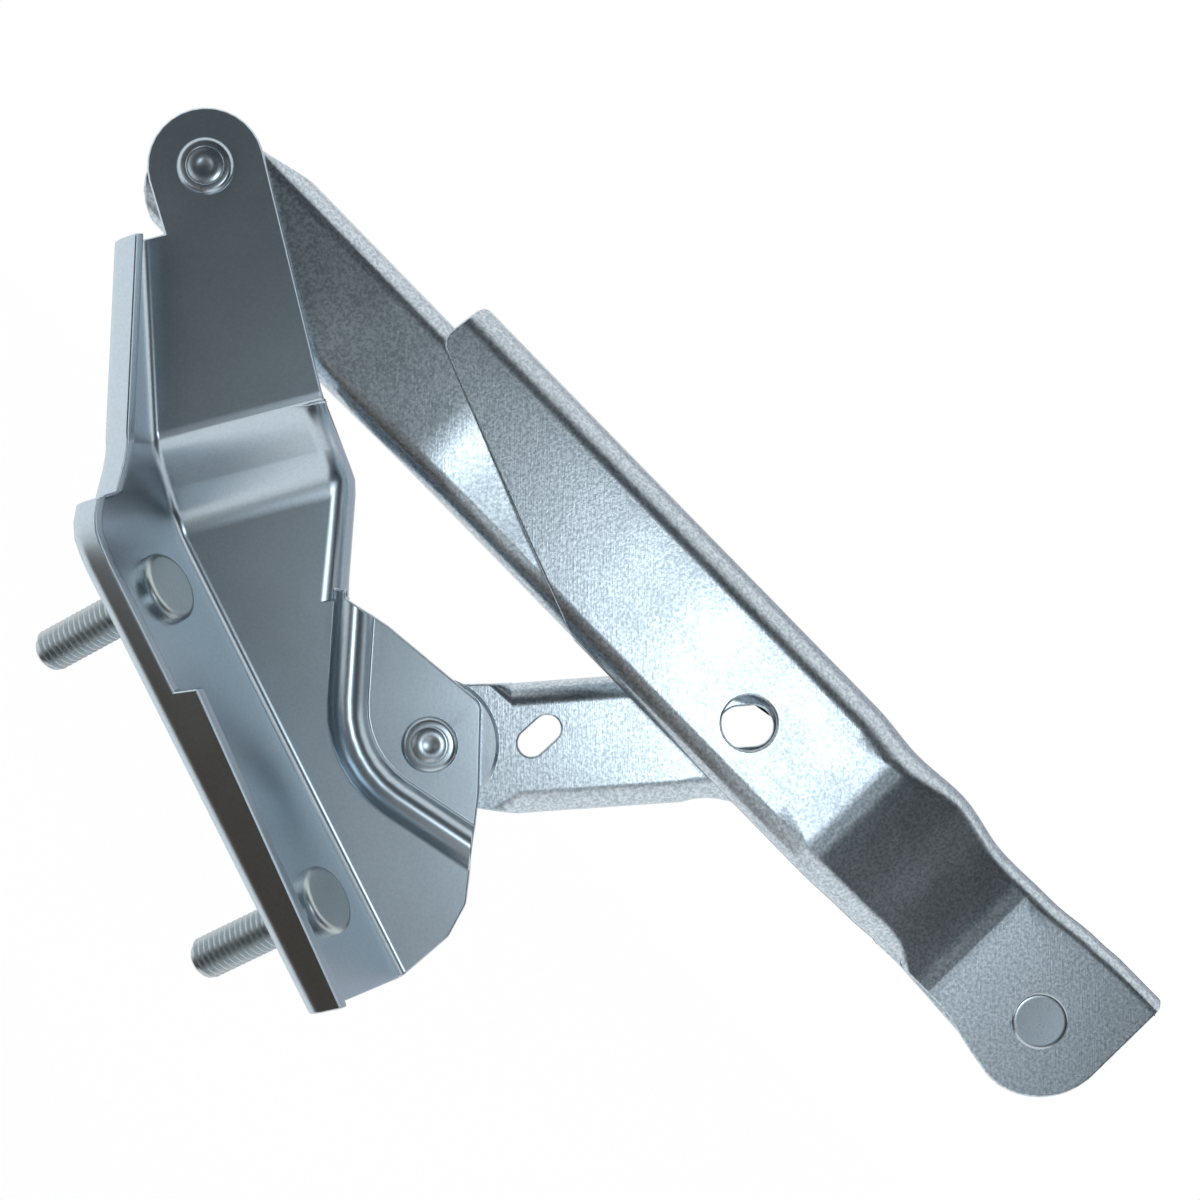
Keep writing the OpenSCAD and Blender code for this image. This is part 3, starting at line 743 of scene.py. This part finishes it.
@dataclass
class Studio:
    """Floor, light and camera, in metres.

    Attributes:
        foot: Point of the outer side's plane that the camera faces.
        distance: Distance of the camera from that plane.
        roll: Turn of the camera about its line of sight, in degrees.
        lens: Focal length, in millimetres on the default sensor.
        shift: Camera shift, as a share of the picture.
        flash_at: Place of the flash beside the camera, to the picture's right and up.
        flash_size: Diameter of the flash.
        flash_power: Power of the flash, in watts.
        flash_colour: Linear colour of the flash.
        cards: Cards round the hinge.
        mat_size: Size of the brown mat on the floor, which only reflections see.
        mat_at: Middle of the mat.
        mat_lift: Height of the mat over the floor.
        mat_colour: Linear colour of the mat.
        floor_gap: Height of the hinge's lowest point over the floor.
        floor_size: Width of the floor.
        floor_colour: Linear colour of the floor.
    """

    foot: tuple[float, float, float] = (64.4 * MM, 0.0, 59.6 * MM)
    distance: float = 600 * MM
    roll: float = -45.7
    lens: float = 100.0
    shift: tuple[float, float] = (-0.0333, 0.0167)
    flash_at: tuple[float, float] = (41 * MM, -25 * MM)
    flash_size: float = 50 * MM
    flash_power: float = 0.29
    flash_colour: Colour = (0.90, 0.96, 1.0)
    cards: tuple[Card, ...] = (
        Card("dark_card", (0.0, 0.0, 1.0), 0.75, (1.6, 1.6), (0.022, 0.027, 0.031)),
        Card("side_card", (0.8, -0.55, 0.62), 0.9, (0.8, 0.9), (0.03, 0.03, 0.035)),
        Card("rear_card", (0.74, 0.19, -0.64), 0.6, (0.7, 0.7), (0.52, 0.53, 0.57)),
        Card("pale_card", (0.11, -0.155, 0.70), 0.73, (0.13, 0.13), (0.8, 0.87, 0.93)),
    )
    mat_size: tuple[float, float] = (0.24, 0.72)
    mat_at: tuple[float, float] = (0.01, -0.36)
    mat_lift: float = 2 * MM
    mat_colour: Colour = (0.06, 0.042, 0.03)
    floor_gap: float = 0.12
    floor_size: float = 6.0
    floor_colour: Colour = (0.995, 0.995, 0.995)

    def turned(self) -> Matrix:
        """Gives the camera's turn.

        Returns:
            A matrix whose columns are picture right, picture up and towards the camera.
        """
        upright = Matrix.Rotation(math.radians(90.0), 4, "X")
        return Matrix.Rotation(math.radians(self.roll), 4, "Y") @ upright

    def camera(self) -> None:
        """Adds the camera, square to the pivots."""
        data = bpy.data.cameras.new("photo_camera")
        data.lens = self.lens
        data.shift_x, data.shift_y = self.shift
        camera = bpy.data.objects.new("photo_camera", data)
        stand = Vector(self.foot) - Vector((0.0, self.distance, 0.0))
        camera.matrix_world = Matrix.Translation(stand) @ self.turned()
        bpy.context.scene.collection.objects.link(camera)
        bpy.context.scene.camera = camera

    def world(self) -> None:
        """Sets a white background and a plain level of light."""
        world = bpy.data.worlds.new("white_studio")
        world.use_nodes = True
        back = world.node_tree.nodes["Background"]
        back.inputs["Color"].default_value = (1.0, 1.0, 1.0, 1.0)
        back.inputs["Strength"].default_value = 1.0
        bpy.context.scene.world = world

    def flash(self) -> None:
        """Adds the small flash beside the camera."""
        data = bpy.data.lights.new("flash", "AREA")
        data.shape = "DISK"
        data.size = self.flash_size
        data.energy = self.flash_power
        data.color = self.flash_colour
        flash = bpy.data.objects.new("flash", data)
        beside = self.turned() @ Vector((*self.flash_at, self.distance))
        flash.matrix_world = Matrix.Translation(Vector(self.foot) + beside) @ self.turned()
        bpy.context.scene.collection.objects.link(flash)

    def sheet(self, name: str, size: tuple[float, float], place: Matrix) -> bpy.types.Object:
        """Adds a flat sheet of the studio.

        Args:
            name: Name of the sheet.
            size: Width and height.
            place: Place of the sheet, which faces along its own Z.

        Returns:
            The sheet.
        """
        mesh = bmesh.new()
        bmesh.ops.create_grid(mesh, x_segments=1, y_segments=1, size=0.5)
        mesh.transform(place @ Matrix.Diagonal((*size, 1.0, 1.0)))
        data = bpy.data.meshes.new(name)
        mesh.to_mesh(data)
        mesh.free()
        sheet = bpy.data.objects.new(name, data)
        bpy.context.scene.collection.objects.link(sheet)
        sheet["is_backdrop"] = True
        return sheet

    @staticmethod
    def paint(sheet: bpy.types.Object, name: str, colour: Colour) -> None:
        """Paints a sheet matt.

        Args:
            sheet: Sheet to paint.
            name: Name of the paint.
            colour: Linear colour of the paint.
        """
        paint = bpy.data.materials.new(name)
        paint.use_nodes = True
        shader = paint.node_tree.nodes["Principled BSDF"]
        shader.inputs["Base Color"].default_value = (*colour, 1.0)
        shader.inputs["Roughness"].default_value = 1.0
        shader.inputs["Specular IOR Level"].default_value = 0.0
        sheet.data.materials.append(paint)

    def reflected(self, name: str, size: tuple[float, float], place: Matrix, colour: Colour) -> None:
        """Adds a painted sheet that only reflections see.

        Args:
            name: Name of the sheet and its paint.
            size: Width and height.
            place: Place of the sheet, which faces along its own Z.
            colour: Linear colour of the paint.
        """
        sheet = self.sheet(name, size, place)
        sheet.visible_camera = False
        sheet.visible_diffuse = False
        sheet.visible_shadow = False
        self.paint(sheet, name, colour)

    def hang_cards(self) -> None:
        """Hangs the cards round the hinge, facing it."""
        for card in self.cards:
            aim = (self.turned() @ Vector(card.aim)).normalized()
            facing = (-aim).to_track_quat("Z", "Y").to_matrix().to_4x4()
            place = Matrix.Translation(Vector(self.foot) + aim * card.distance) @ facing
            self.reflected(card.name, card.size, place, card.colour)

    def floor(self) -> None:
        """Lays a white floor under the hinge, with the brown mat on it."""
        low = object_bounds()[0][2] - self.floor_gap
        mat = Matrix.Translation((*self.mat_at, low + self.mat_lift))
        self.reflected("brown_mat", self.mat_size, mat, self.mat_colour)
        size = (self.floor_size, self.floor_size)
        floor = self.sheet("floor", size, Matrix.Translation((0.0, 0.0, low)))
        self.paint(floor, "pale_floor", self.floor_colour)

    def build(self) -> None:
        """Builds the studio."""
        self.camera()
        self.world()
        self.flash()
        self.hang_cards()
        self.floor()
        bpy.context.scene.view_settings.view_transform = "Standard"


def main() -> None:
    """Builds the hinge's looks and the studio."""
    logging.basicConfig(level=logging.INFO)
    hinge = Hinge()
    hinge.build()
    hinge.dress({finish: look.material() for finish, look in FINISHES.items()})
    Studio().build()


if __name__ == "__main__":
    main()
